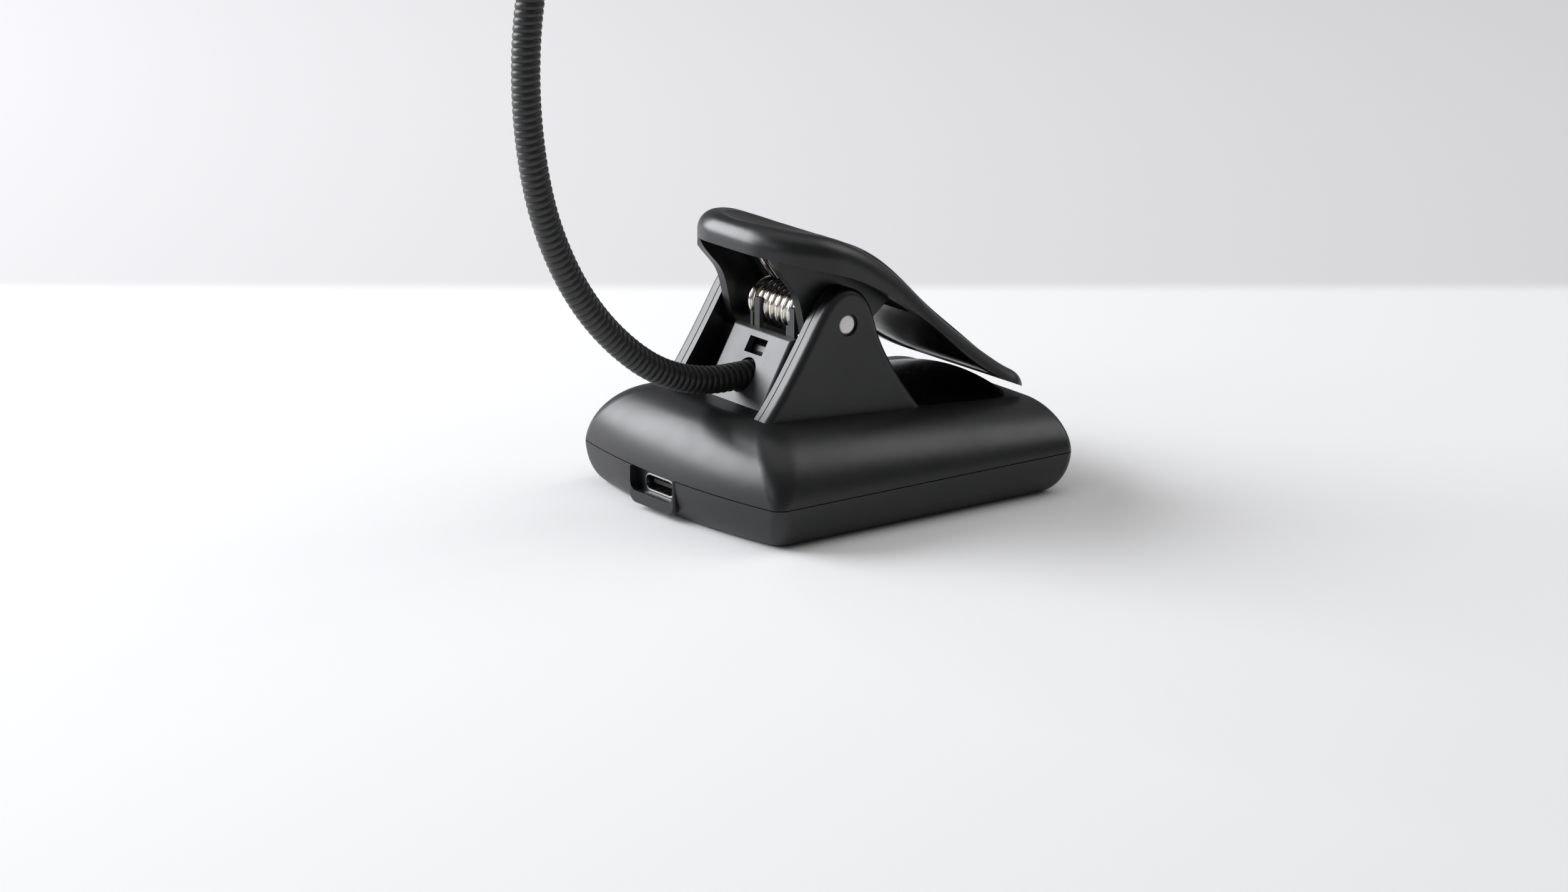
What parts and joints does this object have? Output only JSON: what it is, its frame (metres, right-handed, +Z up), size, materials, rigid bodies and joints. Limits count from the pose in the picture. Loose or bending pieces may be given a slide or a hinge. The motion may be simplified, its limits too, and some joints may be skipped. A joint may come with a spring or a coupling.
{
  "type": "clip on reading lamp",
  "caption": "Clip-on reading lamp: a sprung clip on a battery base, a gooseneck of hinged links and a slim LED head with push buttons.",
  "frame": {"origin": "on the resting plane under the middle of the base's length and width, at the bottom face of the foot pad", "axes": "+X towards the jaw tip, -X towards the thumb pad and charging port, +Y to the lamp's side, +Z up"},
  "size_m": [0.1549, 0.0594, 0.1534],
  "materials": {
    "casing_abs": "satin moulded black ABS",
    "lever_abs": "satin moulded black ABS",
    "pad_rubber": "smooth black elastomer",
    "cover_abs": "fine grained dark grey ABS",
    "pin_nylon": "natural off-white polymer",
    "nickel_steel": "bright nickel-plated spring steel",
    "neck_steel": "black wound steel",
    "ferrule_brass": "turned",
    "screw_steel": "zinc-plated",
    "tongue_plastic": "moulded liquid-crystal polymer",
    "board_laminate": "green solder-masked laminate",
    "white_board": "white solder-masked board",
    "cell_foil": "laminated foil pouch",
    "clear_pipe": "clear moulded polycarbonate",
    "foot_rubber": "matte black silicone",
    "head_abs": "satin moulded black ABS",
    "diffuser_acrylic": "opal acrylic",
    "diode_white": "white LED package",
    "switch_black": "moulded",
    "button_rubber": "satin grey ABS"
  },
  "bodies": {
    "base": {"upper_casing": "casing_abs", "lower_casing": "casing_abs", "lower_grip_pad": "pad_rubber", "hinge_pin": "pin_nylon", "torsion_spring": "nickel_steel", "neck_cover": "cover_abs", "neck_clamp": "cover_abs", "clamp_screws": "screw_steel", "neck_ferrule": "ferrule_brass", "usb_receptacle": "nickel_steel", "usb_tongue": "tongue_plastic", "charging_board": "board_laminate", "battery_cell": "cell_foil", "charge_light": "clear_pipe", "casing_screws": "screw_steel", "foot_pad": "foot_rubber", "neck_root": "neck_steel"},
    "lever": {"lever": "lever_abs", "upper_grip_pad": "pad_rubber", "spring_arm": "nickel_steel"},
    "neck_01": {"neck_link_01": "neck_steel"},
    "neck_02": {"neck_link_02": "neck_steel"},
    "neck_03": {"neck_link_03": "neck_steel"},
    "neck_04": {"neck_link_04": "neck_steel"},
    "neck_05": {"neck_link_05": "neck_steel"},
    "neck_06": {"neck_link_06": "neck_steel"},
    "neck_07": {"neck_link_07": "neck_steel"},
    "neck_08": {"neck_link_08": "neck_steel"},
    "neck_09": {"neck_link_09": "neck_steel"},
    "neck_10": {"neck_link_10": "neck_steel"},
    "head": {"neck_link_11": "neck_steel", "neck_collar": "head_abs", "head_back": "head_abs", "head_bezel": "head_abs", "diffuser": "diffuser_acrylic", "light_board": "white_board", "light_diodes": "diode_white", "board_screws": "screw_steel", "press_switches": "switch_black"},
    "power_button": {"power_button": "button_rubber"},
    "tone_button": {"tone_button": "button_rubber"}
  },
  "joints": [
    {"name": "lever_hinge", "type": "hinge", "parent": "base", "child": "lever", "pos_m": [-0.0084, 0, 0.034], "axis": [0, -1, 0], "range_deg": [0, 35], "stiffness_Nm_per_rad": 0.35, "springref_deg": -68.75},
    {"name": "neck_bend_01", "type": "hinge", "parent": "base", "child": "neck_01", "pos_m": [-0.0225, 0, 0.0233], "axis": [0, 1, 0], "range_deg": [-12, 6]},
    {"name": "neck_sway_02", "type": "hinge", "parent": "neck_01", "child": "neck_02", "pos_m": [-0.04114, 0, 0.02954], "axis": [-0.6018, 0, -0.7986], "range_deg": [-12, 12]},
    {"name": "neck_bend_03", "type": "hinge", "parent": "neck_02", "child": "neck_03", "pos_m": [-0.05444, 0, 0.04431], "axis": [0, 1, 0], "range_deg": [-12, 6]},
    {"name": "neck_sway_04", "type": "hinge", "parent": "neck_03", "child": "neck_04", "pos_m": [-0.06174, 0, 0.06283], "axis": [-0.9781, 0, -0.2079], "range_deg": [-12, 12]},
    {"name": "neck_bend_05", "type": "hinge", "parent": "neck_04", "child": "neck_05", "pos_m": [-0.06365, 0, 0.0827], "axis": [0, 1, 0], "range_deg": [-12, 6]},
    {"name": "neck_sway_06", "type": "hinge", "parent": "neck_05", "child": "neck_06", "pos_m": [-0.06087, 0, 0.10245], "axis": [-0.9659, 0, 0.2588], "range_deg": [-12, 12]},
    {"name": "neck_bend_07", "type": "hinge", "parent": "neck_06", "child": "neck_07", "pos_m": [-0.05324, 0, 0.12088], "axis": [0, 1, 0], "range_deg": [-12, 6]},
    {"name": "neck_sway_08", "type": "hinge", "parent": "neck_07", "child": "neck_08", "pos_m": [-0.0407, 0, 0.13636], "axis": [-0.6691, 0, 0.7431], "range_deg": [-12, 12]},
    {"name": "neck_bend_09", "type": "hinge", "parent": "neck_08", "child": "neck_09", "pos_m": [-0.02383, 0, 0.1469], "axis": [0, 1, 0], "range_deg": [-12, 6]},
    {"name": "neck_sway_10", "type": "hinge", "parent": "neck_09", "child": "neck_10", "pos_m": [-0.00434, 0, 0.15087], "axis": [-0.0175, 0, 0.9998], "range_deg": [-12, 12]},
    {"name": "neck_bend_11", "type": "hinge", "parent": "neck_10", "child": "head", "pos_m": [0.01531, 0, 0.14775], "axis": [0, 1, 0], "range_deg": [-12, 6]},
    {"name": "power_press", "type": "slide", "parent": "head", "child": "power_button", "axis": [-0.5736, 0, -0.8192], "range_m": [0, 0.0005], "stiffness_N_per_m": 400, "springref_m": -0.0006},
    {"name": "tone_press", "type": "slide", "parent": "head", "child": "tone_button", "axis": [-0.5736, 0, -0.8192], "range_m": [0, 0.0005], "stiffness_N_per_m": 400, "springref_m": -0.0006}
  ]
}
